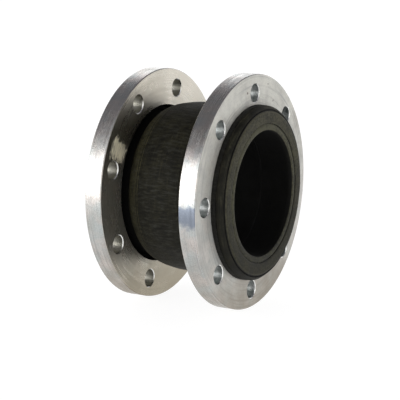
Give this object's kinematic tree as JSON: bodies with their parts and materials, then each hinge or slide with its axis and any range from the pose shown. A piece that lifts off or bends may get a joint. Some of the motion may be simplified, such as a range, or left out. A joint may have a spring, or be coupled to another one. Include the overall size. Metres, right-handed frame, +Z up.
{
  "type": "rubber expansion joint",
  "caption": "Single-arch rubber expansion joint with two loose drilled steel flanges on a beaded rubber and cord body.",
  "frame": {"origin": "middle of the joint, on the pipe axis, half way between the two sealing faces", "axes": "+X along the pipe axis towards the front flange, +Z up"},
  "size_m": [0.18, 0.285, 0.285],
  "materials": {
    "flange_steel": "turned, zinc-plated, dull shine",
    "tube_rubber": "matte, slightly dusty",
    "nylon_cord": "rubberised tyre cord",
    "middle_rubber": "matte",
    "cover_rubber": "matte, faint wrap marks",
    "collar_rubber": "matte, slightly dusty",
    "chafer_fabric": "rubberised canvas",
    "hard_rubber": "matte",
    "wrap_fabric": "rubberised canvas",
    "bead_steel": "drawn, brass-tinted wire"
  },
  "bodies": {
    "rear_flange": {"rear_flange": "flange_steel"},
    "rear_end": {"rear_collar": "collar_rubber", "rear_chafer_strip": "chafer_fabric", "rear_bead_filler": "hard_rubber", "rear_bead_wrap": "wrap_fabric", "rear_bead_wire": "bead_steel"},
    "inner_carcass": {"inner_tube": "tube_rubber", "ply_1": "nylon_cord", "ply_2": "nylon_cord"},
    "outer_carcass": {"middle_rubber": "middle_rubber", "ply_3": "nylon_cord", "ply_4": "nylon_cord", "outer_cover": "cover_rubber"},
    "front_end": {"front_collar": "collar_rubber", "front_chafer_strip": "chafer_fabric", "front_bead_filler": "hard_rubber", "front_bead_wrap": "wrap_fabric", "front_bead_wire": "bead_steel"},
    "front_flange": {"front_flange": "flange_steel"}
  },
  "joints": [
    {"name": "rear_swivel", "type": "hinge", "parent": "rear_flange", "child": "rear_end", "pos_m": [-0.063, 0, 0], "axis": [1, 0, 0], "continuous": true},
    {"name": "axial", "type": "slide", "parent": "rear_end", "child": "inner_carcass", "axis": [1, 0, 0], "range_m": [-0.02, 0.012], "stiffness_N_per_m": 80000, "deforming": ["inner_tube", "ply_1", "ply_2"]},
    {"name": "angular", "type": "hinge", "parent": "inner_carcass", "child": "outer_carcass", "pos_m": [0, 0, 0], "axis": [0, 1, 0], "range_deg": [-15, 15], "stiffness_Nm_per_rad": 860, "deforming": ["middle_rubber", "ply_3", "ply_4", "outer_cover"]},
    {"name": "lateral", "type": "slide", "parent": "outer_carcass", "child": "front_end", "axis": [0, 0, 1], "range_m": [-0.014, 0.014], "stiffness_N_per_m": 100000},
    {"name": "front_swivel", "type": "hinge", "parent": "front_end", "child": "front_flange", "pos_m": [0.063, 0, 0], "axis": [1, 0, 0], "continuous": true}
  ]
}
